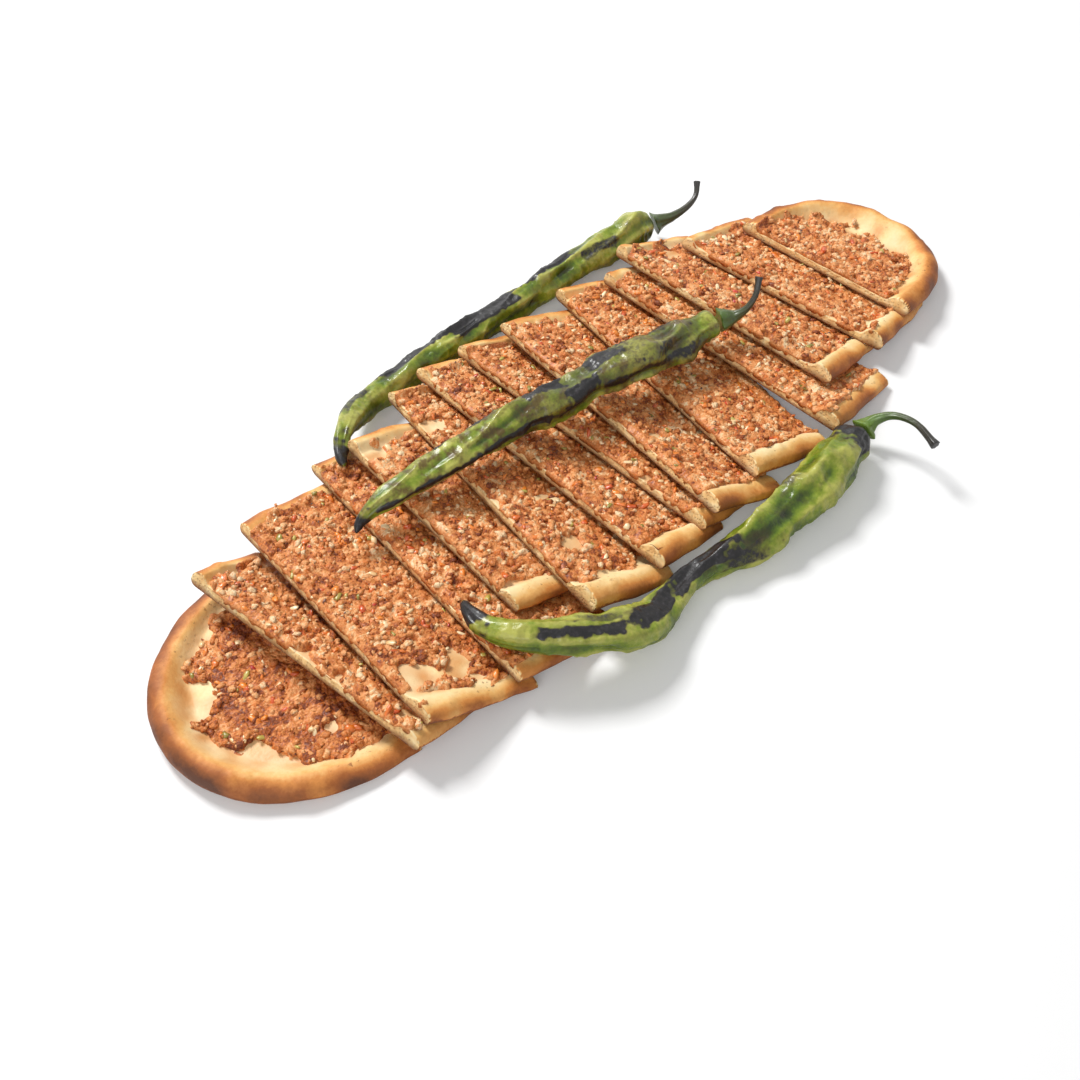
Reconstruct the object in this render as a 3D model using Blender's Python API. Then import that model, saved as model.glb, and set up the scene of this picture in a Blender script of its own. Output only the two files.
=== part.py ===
"""Turkish pide: a long boat-shaped flatbread under spiced minced meat, cut into fourteen
strips that lean on one another like roof tiles, with three grilled long green peppers.

Metres, +Z up.  The pide's length runs along X, the raised cut edges face -X, and the
front ends of the strips face -Y.  Everything rests on the plane z = 0.
"""
import math

import bmesh
import bpy
import numpy as np
from mathutils import Matrix, Vector

MM = 0.001

# ---- the bread -----------------------------------------------------------------------
BREAD = 4.5 * MM            # thickness of the bread under the topping
RIM = 8.8 * MM              # height of the puffed rim on the strips
RIM_END = 14.0 * MM         # height of the rim round the first and last pieces
FOOT = 3.4 * MM             # how far the underside curls in below the rim
FRONT_RIM = 17.0 * MM       # rim width at the front ends
BACK_RIM = 11.5 * MM        # rim width at the back ends
END_RIM = 22.0 * MM         # rim width round the first and last pieces
# ---- the topping ---------------------------------------------------------------------
LAYER_GAP = 0.3 * MM        # clear space between bread and topping
MEAT = 3.7 * MM             # thickness of the meat layer
MEAT_EDGE = 1.6 * MM        # thickness where it thins out on the rim
# ---- how the strips lie --------------------------------------------------------------
PRESSED = 0.68              # thickness left where a piece is pressed under the next one
CLEAR = 0.5 * MM            # clear space between one piece and the next
LEAST_RISE = 9.0 * MM       # a raised cut edge is at least this high
MOST_RISE = 17.0 * MM       # a strip never drops more than this across its width
STATIONS = 4                # cross-sections from the raised cut to the low cut
FLOOR_PARTS = 5             # steps along the flat middle of a cross-section

# Middle of the raised cut edge (x, y), turn in degrees, length at the raised cut,
# length at the low cut, width between the cuts; millimetres.
STRIPS = (
    (-221, -19, 8, 149, 152, 38),
    (-197, -10, -3, 160, 174, 58),
    (-145, -8, -4.5, 179, 180, 60),
    (-123, 2, -3, 142, 148, 56),
    (-89, -2, -8, 189, 187, 54),
    (-54, -3, 0, 190, 188, 50),
    (-21, -2, 1, 189, 187, 44),
    (-1, -3, -7, 189, 190, 50),
    (44, 1, -10, 190, 185, 56),
    (90, -9, 0.5, 181, 170, 60),
    (110, 6, 2, 163, 154, 61),
    (156, -4, 5, 149, 136, 64),
)
# Rounded pieces: tip-to-cut length, half width at the cut, bluntness, side of the front,
# thickness left at the cut.
FIRST = (88, 73, 2.0, 1, PRESSED)
FIRST_AT = (-204, -13, 180)
LAST = (79, 63, 2.5, -1, 1.0)
LAST_AT = (195, -8, 1)

# ---- the peppers: x, y, z of the centre line, half width, half height (mm) -----------
# Bodies are raised where something lies under them; stem heights are above the shoulder.
TOP_PEPPER = (
    (-154, 21, 20, 2.5, 2.5), (-147, 25, 20, 4.0, 4.0), (-133, 22, 20, 6.5, 6.0),
    (-107, 19, 20, 9.0, 8.0), (-74, 16, 20, 10.5, 9.0), (-42, 14, 20, 12.5, 10.0),
    (-18, 8.5, 20, 14.5, 10.5), (-2, 5.5, 20, 12.0, 10.5), (23, 2, 20, 13.5, 11.5),
    (51, -0.5, 20, 14.0, 12.0), (77, -2, 20, 13.0, 11.5), (95, -5, 20, 9.0, 8.5),
)
TOP_STEM = (
    (98.5, -6, 0.0, 6.8, 6.5), (102, -8, 0.5, 5.4, 5.2), (105, -11, 2.5, 3.2, 3.2),
    (109, -15.5, 8, 2.0, 2.0), (114, -16, 16, 1.7, 1.7), (119, -13, 24, 1.9, 1.9),
)
FRONT_PEPPER = (
    (-146, -49, 20, 2.5, 2.5), (-149, -59, 20, 5.0, 4.5), (-147, -73, 20, 7.5, 6.0),
    (-137, -87, 20, 9.0, 7.5), (-120, -101, 18, 10.0, 8.5), (-101, -113, 14, 11.0, 9.5),
    (-82, -118, 12, 11.0, 10.0), (-62, -116, 10, 8.5, 9.0), (-42, -115, 9, 7.5, 8.0),
    (-18, -118, 10, 10.5, 9.5), (10, -120.5, 11.5, 14.0, 11.0), (40, -120, 12.5, 15.0, 12.0),
    (68, -117.5, 13, 14.5, 12.5), (87, -115, 12.5, 11.0, 11.0), (97, -114.5, 12, 8.5, 8.5),
)
FRONT_STEM = (
    (99.5, -114.3, 0.0, 6.8, 6.8), (103, -114.6, 1, 5.0, 4.8), (108, -117, 5, 3.0, 3.0),
    (111, -124, 10, 2.1, 2.1), (111, -135, 13, 1.8, 1.8), (107, -149, 12, 2.2, 2.2),
)
BACK_PEPPER = (
    (-129, 63, 20, 2.5, 2.5), (-127, 71, 19, 4.0, 3.8), (-119, 82, 15, 5.5, 5.5),
    (-103, 94, 10, 7.5, 7.5), (-84, 102, 10, 8.5, 8.5), (-58, 105, 10, 9.0, 9.5),
    (-24, 105, 10.5, 9.0, 9.5), (10, 105, 10.5, 9.0, 9.5), (44, 106, 10.5, 9.5, 9.5),
    (78, 106, 11, 9.5, 10.0), (110, 104, 11.5, 10.0, 11.0), (138, 102, 12, 10.0, 11.5),
    (154, 100, 12, 8.0, 9.0),
)
BACK_STEM = (
    (157, 99.4, 0.0, 6.5, 7.4), (162, 98, 1, 4.6, 4.6), (170, 94, 3, 2.8, 2.8),
    (181, 93, 6, 2.0, 2.0), (191, 94, 10, 1.7, 1.7), (196, 97, 16, 1.8, 1.8),
)
BODY_STEPS, BODY_SIDES = 24, 12
STEM_STEPS, STEM_SIDES = 12, 8

LOOKS = {                   # base colour, roughness
    "bread": ((0.80, 0.55, 0.27), 0.75),
    "meat": ((0.50, 0.20, 0.09), 0.55),
    "pepper": ((0.09, 0.17, 0.03), 0.35),
    "stem": ((0.05, 0.09, 0.02), 0.60),
}


def smooth(t):
    """Ease from 0 to 1: t*t*(3 - 2t)."""
    return t * t * (3.0 - 2.0 * t)


def rim_profile(rim_height, rim_width):
    """(inset from the edge, height) from under the rim up over it to the bread's floor."""
    crest = 1.9 * FOOT
    points = [(FOOT, 0.0), (0.32 * FOOT, 0.13 * rim_height), (0.0, 0.38 * rim_height),
              (0.25 * FOOT, 0.68 * rim_height), (FOOT, 0.92 * rim_height), (crest, rim_height)]
    for k in range(1, 5):
        t = k / 4.0
        points.append((crest + (rim_width - crest) * t,
                       rim_height + (BREAD - rim_height) * smooth(t)))
    return points


def topping_profile(rim_height, rim_width):
    """(inset, height) of the meat: under it from the middle out, then up and back in."""
    crest = 1.9 * FOOT
    run = rim_width - crest
    slope = lambda t: rim_height + (BREAD - rim_height) * smooth(t)
    edge = 0.62
    return [(rim_width + 4 * MM, BREAD + LAYER_GAP),
            (rim_width, BREAD + LAYER_GAP),
            (crest + 0.81 * run, slope(0.72) + LAYER_GAP),
            (crest + edge * run, slope(edge) + 1.6 * LAYER_GAP),
            (crest + (edge + 0.06) * run, slope(edge) + MEAT_EDGE),
            (rim_width + 5 * MM, BREAD + MEAT)]


def solid(name, verts, faces, look):
    """One closed mesh object with outward faces and its own material."""
    mesh = bpy.data.meshes.new(name)
    mesh.from_pydata([tuple(v) for v in verts], [], faces)
    bm = bmesh.new()
    bm.from_mesh(mesh)
    bmesh.ops.remove_doubles(bm, verts=bm.verts, dist=1e-7)
    bmesh.ops.recalc_face_normals(bm, faces=bm.faces)
    bm.to_mesh(mesh)
    bm.free()
    obj = bpy.data.objects.new(name, mesh)
    bpy.context.scene.collection.objects.link(obj)
    colour, rough = LOOKS[look]
    material = bpy.data.materials.new(name)
    material.use_nodes = True
    shader = material.node_tree.nodes["Principled BSDF"]
    shader.inputs["Base Color"].default_value = (*colour, 1.0)
    shader.inputs["Roughness"].default_value = rough
    shader.inputs["Metallic"].default_value = 0.0
    mesh.materials.append(material)
    return obj


def loft(rings, close_ends=True):
    """Faces joining closed rings of equal length, capped with one face at each end."""
    count = len(rings[0])
    verts = [p for ring in rings for p in ring]
    faces = []
    for k in range(len(rings) - 1):
        for j in range(count):
            a, b = k * count + j, k * count + (j + 1) % count
            faces.append((a, b, b + count, a + count))
    if close_ends:
        faces.append(tuple(range(count))[::-1])
        faces.append(tuple(range((len(rings) - 1) * count, len(rings) * count)))
    return verts, faces


def across(start, end, parts):
    """Points (y, z) strictly between two points, evenly spaced."""
    return [tuple(p + (q - p) * k / parts for p, q in zip(start, end)) for k in range(1, parts)]


def strip_shell(spec, index, profile):
    """One strip: cross-sections (y, z) at even steps from its raised cut to its low cut."""
    long_end, short_end, width = spec[3:]
    rings = []
    for k in range(STATIONS):
        t = k / (STATIONS - 1)
        half = 0.5 * MM * (long_end + (short_end - long_end) * t)
        half += 0.8 * MM * math.sin(math.pi * t)
        swell = RIM * (1.0 + 0.04 * math.sin(2.4 * index + 2.0 * t))
        front = profile(swell, FRONT_RIM * (1.0 + 0.10 * math.sin(1.7 * index + 1.9 * t)))
        back = profile(swell, BACK_RIM * (1.0 + 0.12 * math.sin(2.9 * index - 1.5 * t)))
        ring = [(inset - half, z) for inset, z in front]
        far = [(half - inset, z) for inset, z in reversed(back)]
        ring = (ring + across(ring[-1], far[0], FLOOR_PARTS)
                + far + across(far[-1], ring[0], FLOOR_PARTS))
        press = 1.0 - (1.0 - PRESSED) * smooth(t)
        rings.append([(width * MM * t, y, z * press) for y, z in ring])
    return loft(rings)


def rounded_shell(spec, profile, sides=16):
    """A rounded piece: its outline shrunk by each inset of the profile, cut flat at x = 0.

    The rim is tallest and widest round the tip and comes down to the strips' rim at the cut,
    where the first piece is also pressed thin by the strip lying on it."""
    length, half, blunt, front, press = spec
    columns = []
    for k in range(sides + 1):
        angle = math.pi * (k / sides - 0.5)
        c, s = max(0.0, math.cos(angle)), math.sin(angle)
        side = 0.5 * (FRONT_RIM + BACK_RIM) + 0.5 * (FRONT_RIM - BACK_RIM) * s * front
        rim = profile(RIM + (RIM_END - RIM) * c, side + (END_RIM - side) * c)
        column = []
        for inset, z in rim:
            x = (length * MM - inset) * c ** (2.0 / blunt)
            y = (half * MM - inset) * math.copysign(abs(s) ** (2.0 / blunt), s)
            column.append((x, y, z * (press + (1.0 - press) * x / (length * MM))))
        columns.append(column)
    verts = [p for column in columns for p in column]
    deep = len(columns[0])
    faces = []
    for k in range(sides):
        for r in range(deep - 1):
            a = k * deep + r
            faces.append((a, a + deep, a + deep + 1, a + 1))
    for r in (0, deep - 1):
        faces.append(tuple(k * deep + r for k in range(sides + 1)))
    faces.append(tuple(range(deep)) + tuple(sides * deep + r for r in reversed(range(deep))))
    return verts, faces


def lean_over(shell, width, half, front_rise, back_rise, lift):
    """Lean a flat-laid piece: its cut at x = 0 rises by front_rise to back_rise along y."""
    verts, faces = shell
    out = []
    for x, y, z in verts:
        rise = front_rise + (back_rise - front_rise) * (y + half) / (2.0 * half)
        out.append((x + z * rise / width, y, z + lift + rise * (1.0 - x / width)))
    return out, faces


def fine_points(obj, parts=6):
    """Points spread over an object's faces: along every edge and half way to the middle."""
    points = []
    for face in obj.data.polygons:
        corners = [obj.matrix_world @ obj.data.vertices[v].co for v in face.vertices]
        centre = sum(corners, Vector()) / len(corners)
        for a, b in zip(corners, corners[1:] + corners[:1]):
            for i in range(parts + 1):
                edge = a.lerp(b, i / parts)
                points += [edge, edge.lerp(centre, 0.5)]
    return np.array([tuple(p) for p in points])


def settle(place, width, half, below):
    """(front rise, back rise, lift) at which a piece clears everything below it.

    Its low cut stays on the floor and its raised cut goes up, more at one end if the
    pieces below ask for it, until the drop is the most allowed; then the whole is lifted."""
    inverse = np.array(place.inverted())
    local = below @ inverse[:3, :3].T + inverse[:3, 3]
    under = (local[:, 0] > -1 * MM) & (local[:, 0] < width) & (abs(local[:, 1]) < half + 2 * MM)
    x, y, z = local[under].T
    run = np.maximum(1.0 - x / width, 0.02)
    along = (y + half) / (2.0 * half)
    lift = 0.0
    while True:
        need = (z + CLEAR - lift) / run
        best = None
        for twist in np.linspace(-6 * MM, 6 * MM, 25):
            front = max(LEAST_RISE - min(0.0, twist), (need - twist * along).max())
            if best is None or front + twist / 2 < best[0] + best[1] / 2:
                best = (front, twist)
        front, twist = best
        if front + twist / 2 <= MOST_RISE:
            return front, front + twist, lift
        lift += 0.25 * MM


def curve(points, steps):
    """Catmull-Rom curve through the points, sampled evenly in its own parameter."""
    p = np.array(points, float)
    p = np.vstack([2 * p[0] - p[1], p, 2 * p[-1] - p[-2]])
    out = []
    for k in range(steps + 1):
        u = k / steps * (len(points) - 1)
        i = min(int(u), len(points) - 2)
        t = u - i
        a, b, c, d = p[i:i + 4]
        out.append(0.5 * (2 * b + (c - a) * t + (2 * a - 5 * b + 4 * c - d) * t * t
                          + (3 * b - a - 3 * c + d) * t ** 3))
    return np.array(out) * MM


def rest(points, ground):
    """Raise a pepper's centre line until its oval section clears the pieces under it."""
    per = 4
    line = curve(points, per * (len(points) - 1))
    need = np.zeros(len(line))
    for k, (x, y, _, wide, high) in enumerate(line):
        wide, high = wide * 1.1 + CLEAR, high * 1.1 + CLEAR
        far = np.hypot(ground[:, 0] - x, ground[:, 1] - y)
        near = far < wide
        if near.any():
            need[k] = (ground[near, 2] + high * np.sqrt(1.0 - (far[near] / wide) ** 2)).max()
    raised = []
    for k, (x, y, z, wide, high) in enumerate(points):
        window = need[max(0, per * k - per + 1):per * k + per]
        raised.append((x, y, max(z, 1.1 * high, window.max() / MM), wide, high))
    return raised


def tube(points, steps, sides, wobble=0.0):
    """A tube of varying oval section along a curve; wobble creases it like roast skin."""
    line = curve(points, steps)
    rings = []
    for k, (x, y, z, wide, high) in enumerate(line):
        ahead = Vector(line[min(k + 1, steps), :3] - line[max(k - 1, 0), :3]).normalized()
        side = Vector((0, 0, 1)).cross(ahead).normalized()
        up = ahead.cross(side)
        ring = []
        for j in range(sides):
            angle = 2 * math.pi * j / sides
            crease = 1.0 + wobble * math.sin(3 * angle + 0.9 * k) * math.sin(0.7 * k + 0.4)
            ring.append(Vector((x, y, z)) + side * (wide * crease * math.cos(angle))
                        + up * (high * crease * math.sin(angle)))
        rings.append(ring)
    return loft(rings)


def build():
    for obj in list(bpy.data.objects):
        bpy.data.objects.remove(obj, do_unlink=True)
    root = bpy.data.objects.new("pide", None)
    bpy.context.scene.collection.objects.link(root)

    def put(name, shell, look, place=Matrix()):
        obj = solid(name, *shell, look)
        obj.parent = root
        obj.matrix_world = place
        bpy.context.view_layer.update()
        return obj

    def slice_of_pide(number, shape, place, lean, below):
        pieces = [put(f"{kind}_{number:02d}", lean_over(shape(profile), *lean), kind, place)
                  for kind, profile in (("bread", rim_profile), ("meat", topping_profile))]
        return np.vstack([below] + [fine_points(piece) for piece in pieces])

    def spot(x, y, turn):
        return Matrix.Translation((x * MM, y * MM, 0)) @ Matrix.Rotation(math.radians(turn), 4, "Z")

    # The first piece lies flat, its rounded tip towards -X.
    ground = slice_of_pide(1, lambda profile: rounded_shell(FIRST, profile), spot(*FIRST_AT),
                           (1.0, 1.0, 0.0, 0.0, 0.0), np.zeros((0, 3)))
    for i, spec in enumerate(STRIPS):
        place = spot(*spec[:3])
        width, half = spec[5] * MM, 0.5 * MM * max(spec[3:5])
        lean = (width, half, *settle(place, width, half, ground))
        ground = slice_of_pide(i + 2, lambda profile: strip_shell(spec, i, profile), place,
                               lean, ground)
    place = spot(*LAST_AT)
    width, half = LAST[0] * MM, LAST[1] * MM
    lean = (width, half, *settle(place, width, half, ground))
    ground = slice_of_pide(14, lambda profile: rounded_shell(LAST, profile), place, lean, ground)

    for place, body, stem in (("top", TOP_PEPPER, TOP_STEM), ("front", FRONT_PEPPER, FRONT_STEM),
                              ("back", BACK_PEPPER, BACK_STEM)):
        body = rest(body, ground)
        shoulder = body[-1][2]
        stem = [(x, y, shoulder + z, wide, high) for x, y, z, wide, high in stem]
        put(f"pepper_{place}", tube(body, BODY_STEPS, BODY_SIDES, 0.07), "pepper")
        put(f"stem_{place}", tube(stem, STEM_STEPS, STEM_SIDES), "stem")

    # Origin on the resting plane, midway along and across everything.
    corners = np.array([tuple(piece.matrix_world @ v.co) for piece in root.children
                        for v in piece.data.vertices])
    low, high = corners.min(axis=0), corners.max(axis=0)
    root.location = (-0.5 * (low[0] + high[0]), -0.5 * (low[1] + high[1]), -low[2])
    bpy.context.view_layer.update()


build()
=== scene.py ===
"""Turkish pide: a boat-shaped flatbread with minced meat, cut into fourteen leaning pieces,
and three grilled long green peppers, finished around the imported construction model.

Metres in the model, millimetres in the tables.  The length runs along X, the raised cut
edges face -X, the front ends of the strips face -Y, and everything rests on z = 0.
"""

import bmesh
import bpy
import numpy as np
from mathutils import Matrix, Vector


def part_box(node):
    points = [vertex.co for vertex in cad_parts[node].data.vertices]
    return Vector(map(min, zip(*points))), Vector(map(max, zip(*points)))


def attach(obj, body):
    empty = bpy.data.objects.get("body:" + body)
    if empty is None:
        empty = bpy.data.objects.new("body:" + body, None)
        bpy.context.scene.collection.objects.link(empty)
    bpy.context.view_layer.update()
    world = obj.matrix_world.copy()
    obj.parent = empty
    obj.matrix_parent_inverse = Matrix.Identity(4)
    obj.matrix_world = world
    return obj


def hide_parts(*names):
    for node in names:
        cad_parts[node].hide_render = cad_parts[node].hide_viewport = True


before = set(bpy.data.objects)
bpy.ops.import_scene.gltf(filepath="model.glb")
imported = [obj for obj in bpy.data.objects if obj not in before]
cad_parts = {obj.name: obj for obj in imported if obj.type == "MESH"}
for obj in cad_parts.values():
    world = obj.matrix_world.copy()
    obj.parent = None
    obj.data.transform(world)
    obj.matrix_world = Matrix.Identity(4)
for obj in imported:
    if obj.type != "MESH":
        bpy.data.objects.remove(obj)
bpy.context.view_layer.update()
MM = 0.001


# ==== The fourteen pieces of bread ====================================================
# A yeast dough rolled thin, its edge folded up into a puffed rim, baked on a stone until
# the rim is golden, then cut across. Each strip leans on the one before it; nothing is
# fixed. The rounded ends lie at both ends of the row, the first one flat.

BREAD = 4.5                 # thickness under the topping
RIM, RIM_END = 8.8, 14.0    # rim height on the strips and round the end pieces
FOOT = 3.4                  # how far the underside curls in below the rim
FRONT_RIM, BACK_RIM, END_RIM = 17.0, 11.5, 22.0
CREST = 1.9 * FOOT          # inset of the rim's top at the back
FRONT_CREST = 9.5           # the front ends are rounder and rise further in
PRESSED = 0.68              # thickness left under the next piece

# Middle of the raised cut edge (x, y), turn in degrees, length at the raised cut, length
# at the low cut, width; then how much the front and back rims are puffed up.
STRIPS = (
    (-221, -19, 8, 149, 152, 38, 0.92, 0.85), (-197, -10, -3, 160, 174, 58, 0.86, 0.80),
    (-145, -8, -4.5, 179, 180, 60, 0.95, 0.90), (-123, 2, -3, 142, 148, 56, 0.80, 0.92),
    (-89, -2, -8, 189, 187, 54, 1.16, 0.92), (-54, -3, 0, 190, 188, 50, 1.18, 0.90),
    (-21, -2, 1, 189, 187, 44, 0.98, 0.88), (-1, -3, -7, 189, 190, 50, 0.92, 0.85),
    (44, 1, -10, 190, 185, 56, 1.12, 0.88), (90, -9, 0.5, 181, 170, 60, 1.16, 0.84),
    (110, 6, 2, 163, 154, 61, 1.05, 0.92), (156, -4, 5, 149, 136, 64, 1.10, 0.90),
)
# Rounded pieces: tip-to-cut length, half width at the cut, bluntness, side of the front,
# thickness left at the cut; then place and turn.
ROUNDED = ((88, 73, 2.0, 1, PRESSED), (79, 63, 2.5, -1, 1.0))
ROUNDED_AT = ((-204, -13, 180), (195, -8, 1))


def hashed(i, j, k, seed):
    """Repeatable random number in 0..1 for whole numbers i, j, k: the fraction of a large sine."""
    wave = np.sin(i * 127.1 + j * 311.7 + k * 74.7 + seed * 53.9) * 43758.5453
    return wave - np.floor(wave)


def drift(x, y, z, seed):
    """Smooth noise in -1..1: random values at whole lattice corners, eased between them."""
    ix, iy, iz = np.floor(x), np.floor(y), np.floor(z)
    fx, fy, fz = x - ix, y - iy, z - iz
    fx, fy, fz = (f * f * (3 - 2 * f) for f in (fx, fy, fz))
    total = 0.0
    for a in (0, 1):
        for b in (0, 1):
            for c in (0, 1):
                share = (fx if a else 1 - fx) * (fy if b else 1 - fy) * (fz if c else 1 - fz)
                total = total + share * hashed(ix + a, iy + b, iz + c, seed)
    return 2 * total - 1


def ease(t):
    """Smooth step from 0 to 1 with level ends."""
    t = np.clip(t, 0.0, 1.0)
    return t * t * (3 - 2 * t)


def local_spot(x, y, turn):
    """Place of a piece in the model, in millimetres, before the row is centred."""
    return Matrix.Translation((x, y, 0)) @ Matrix.Rotation(np.radians(turn), 4, "Z")


# The row was centred after it was laid: the first piece's flat cut and its tips say by how much.
first_low, first_high = (np.array(c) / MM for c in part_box("bread_01"))
CENTRED = np.array([first_high[0] - ROUNDED_AT[0][0],
                    0.5 * (first_low[1] + first_high[1]) - ROUNDED_AT[0][1], 0.0])


def measured_lean(node, place, width, far, end):
    """Lift, front rise and back rise of a piece, solved from the CAD node's own bottom corners.

    At the raised cut the underside stands at lift + rise, at the low cut (or tip) at lift
    plus what is left of the rise there; the rise runs evenly from the front end to the back."""
    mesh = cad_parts[node].data
    co = np.empty(len(mesh.vertices) * 3)
    mesh.vertices.foreach_get("co", co)
    points = (co.reshape(-1, 3) / MM - CENTRED)
    inverse = np.array(place.inverted())
    x, y, z = (points @ inverse[:3, :3].T + inverse[:3, 3]).T
    on_cut = abs(x) < 0.03
    on_far = (abs(x - far) < 0.03) & ((abs(y) < 0.03) | (far == width))
    use = on_cut | on_far
    along = (y + end) / (2 * end)
    run = 1 - x / width
    terms = np.stack([np.ones_like(x), run * (1 - along), run * along], axis=1)
    lift, front, back = np.linalg.lstsq(terms[use], z[use], rcond=None)[0]
    return lift, front, back


def slice_list():
    """All fourteen pieces in order, each with its outline numbers, place and lean."""
    pieces = []
    for k, (spec, at) in enumerate(zip(ROUNDED, ROUNDED_AT)):
        number = 1 + 13 * k
        place = local_spot(*at)
        piece = dict(number=number, round=True, length=spec[0], half=spec[1], blunt=spec[2],
                     side=spec[3], press=spec[4], place=place, width=spec[0], end=spec[1],
                     puff=(1.0, 1.0))
        piece["lean"] = ((0.0, 0.0, 0.0) if k == 0 else measured_lean(
            "bread_14", place, spec[0], spec[0] - FOOT, spec[1]))
        pieces.append(piece)
    for k, (x, y, turn, long_end, short_end, width, front, back) in enumerate(STRIPS):
        place = local_spot(x, y, turn)
        end = 0.5 * max(long_end, short_end)
        pieces.insert(k + 1, dict(
            number=k + 2, round=False, index=k, raised=long_end, low=short_end, width=width,
            end=end, place=place, puff=(front, back),
            lean=measured_lean(f"bread_{k + 2:02d}", place, width, width, end)))
    return pieces


SLICES = slice_list()


def rim_sizes(piece, x, c=0.0, s=0.0):
    """Rim height and front and back rim widths, with the slow swell along the cut direction.

    c and s are the cosine and sine of the place round a rounded piece's outline."""
    if piece["round"]:
        side = 0.5 * (FRONT_RIM + BACK_RIM) + 0.5 * (FRONT_RIM - BACK_RIM) * s * piece["side"]
        wide = side + (END_RIM - side) * c
        return RIM + (RIM_END - RIM) * c, wide, wide
    t, i = x / piece["width"], piece["index"]
    return (RIM * (1 + 0.04 * np.sin(2.4 * i + 2.0 * t)),
            FRONT_RIM * (1 + 0.10 * np.sin(1.7 * i + 1.9 * t)),
            BACK_RIM * (1 + 0.12 * np.sin(2.9 * i - 1.5 * t)))


def half_length(piece, x):
    """Half length of a strip at distance x from its raised cut, bulging a little half way."""
    t = np.clip(x / piece["width"], 0, 1)
    base = 0.5 * (piece["raised"] + (piece["low"] - piece["raised"]) * t) + 0.8 * np.sin(np.pi * t)
    return base + 0.9 * drift(x / 15, piece["number"] * 3.7 + 0 * x, 0 * x, 5)


def inset_of(piece, x, y):
    """Inset from the outline towards the front and towards the back, and c, s of the outline.

    On a rounded piece the outline is a superellipse; the inset that puts it through the
    point is found by halving."""
    if not piece["round"]:
        half = half_length(piece, x)
        return half + y, half - y, 0 * x, np.sign(y)
    low, high = np.zeros_like(x), np.full_like(x, piece["half"] - 0.01)
    for _ in range(16):
        middle = 0.5 * (low + high)
        level = (np.abs(x / (piece["length"] - middle)) ** piece["blunt"]
                 + np.abs(y / (piece["half"] - middle)) ** piece["blunt"])
        low, high = np.where(level > 1, low, middle), np.where(level > 1, middle, high)
    c = np.clip(x / (piece["length"] - low), 0, 1) ** (piece["blunt"] / 2)
    s = np.sign(y) * np.sqrt(np.clip(1 - c * c, 0, 1))
    return low, low, c, s


def crest_inset(piece, front):
    """Inset of the rim's top: a rounded piece has one value, a strip has one for each end."""
    return 8.5 if piece["round"] else (FRONT_CREST if front else CREST)


def slope_height(inset, rim, wide, crest):
    """Height of the bread inside the crest: level rim, then an eased fall to the floor."""
    return rim + (BREAD - rim) * ease((inset - crest) / (wide - crest))


def bread_top(piece, x, y):
    """Height of the baked surface at (x, y) inside the crest, before pressing and leaning."""
    front, back, c, s = inset_of(piece, x, y)
    rim, wide_front, wide_back = rim_sizes(piece, x, c, s)
    return np.maximum(
        slope_height(front, rim * piece["puff"][0], wide_front, crest_inset(piece, True)),
        slope_height(back, rim * piece["puff"][1], wide_back, crest_inset(piece, False)))


def lean_over(piece, x, y, z):
    """A flat-laid point, pressed thin towards the covered side, leaned and set in its place."""
    lift, front, back = piece["lean"]
    if piece["round"]:
        z = z * (piece["press"] + (1 - piece["press"]) * np.clip(x / piece["length"], 0, 1))
    else:
        z = z * (1 - (1 - PRESSED) * ease(x / piece["width"]))
    rise = front + (back - front) * (y + piece["end"]) / (2 * piece["end"])
    flat = np.stack([x + z * rise / piece["width"], y,
                     z + lift + rise * (1 - x / piece["width"])], axis=-1)
    turn = np.array(piece["place"])
    return (flat @ turn[:3, :3].T + turn[:3, 3] + CENTRED) * MM


def over_rim(rim, wide, crest, bulge=13, slope=13):
    """Inset, height, outward and upward parts of the rim's upper face.

    A quarter ellipse from the widest point up to the crest, then the eased slope inwards."""
    angle = np.linspace(0, np.pi / 2, bulge)
    waist = 0.38 * rim
    inset = crest * (1 - np.cos(angle)) + 0 * rim
    z = waist + (rim - waist) * np.sin(angle)
    part = np.linspace(0, 1, slope)[1:]
    inset = np.concatenate([inset, crest + (wide - crest) * part], axis=1)
    z = np.concatenate([z, rim + (BREAD - rim) * ease(part)], axis=1)
    out = np.concatenate([np.cos(angle), 0 * part])
    up = np.concatenate([np.sin(angle), 1 + 0 * part])
    return inset, z, out, up


def under_rim(rim, steps=8):
    """Inset, height, outward and upward parts of the curl from the widest point to the foot."""
    angle = np.linspace(0, np.pi / 2, steps)
    return (FOOT * (1 - np.cos(angle)) + 0 * rim, 0.38 * rim * (1 - np.sin(angle)),
            np.cos(angle), -np.sin(angle))


def blisters(x, y, size, seed):
    """Sparse round blisters: a dome round a random point in about one lattice cell in three."""
    height = np.zeros_like(x)
    u, v = x / size, y / size
    for di in (-1, 0, 1):
        for dj in (-1, 0, 1):
            ci, cj = np.floor(u) + di, np.floor(v) + dj
            px = ci + 0.5 + 0.6 * (hashed(ci, cj, 1, seed) - 0.5)
            py = cj + 0.5 + 0.6 * (hashed(ci, cj, 2, seed) - 0.5)
            reach = 0.18 + 0.30 * hashed(ci, cj, 3, seed)
            far = np.hypot(u - px, v - py) / reach
            here = hashed(ci, cj, 4, seed) < 0.36
            height = np.maximum(height, np.where(here, reach * 2 * np.clip(1 - far ** 2, 0, 1), 0))
    return height


def grid_quads(rows, cols, start=0):
    """Quads of a grid of points stored row after row."""
    r, c = np.meshgrid(np.arange(rows - 1), np.arange(cols - 1), indexing="ij")
    a = (start + r * cols + c).ravel()
    return np.stack([a, a + 1, a + cols + 1, a + cols], axis=1)


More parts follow.
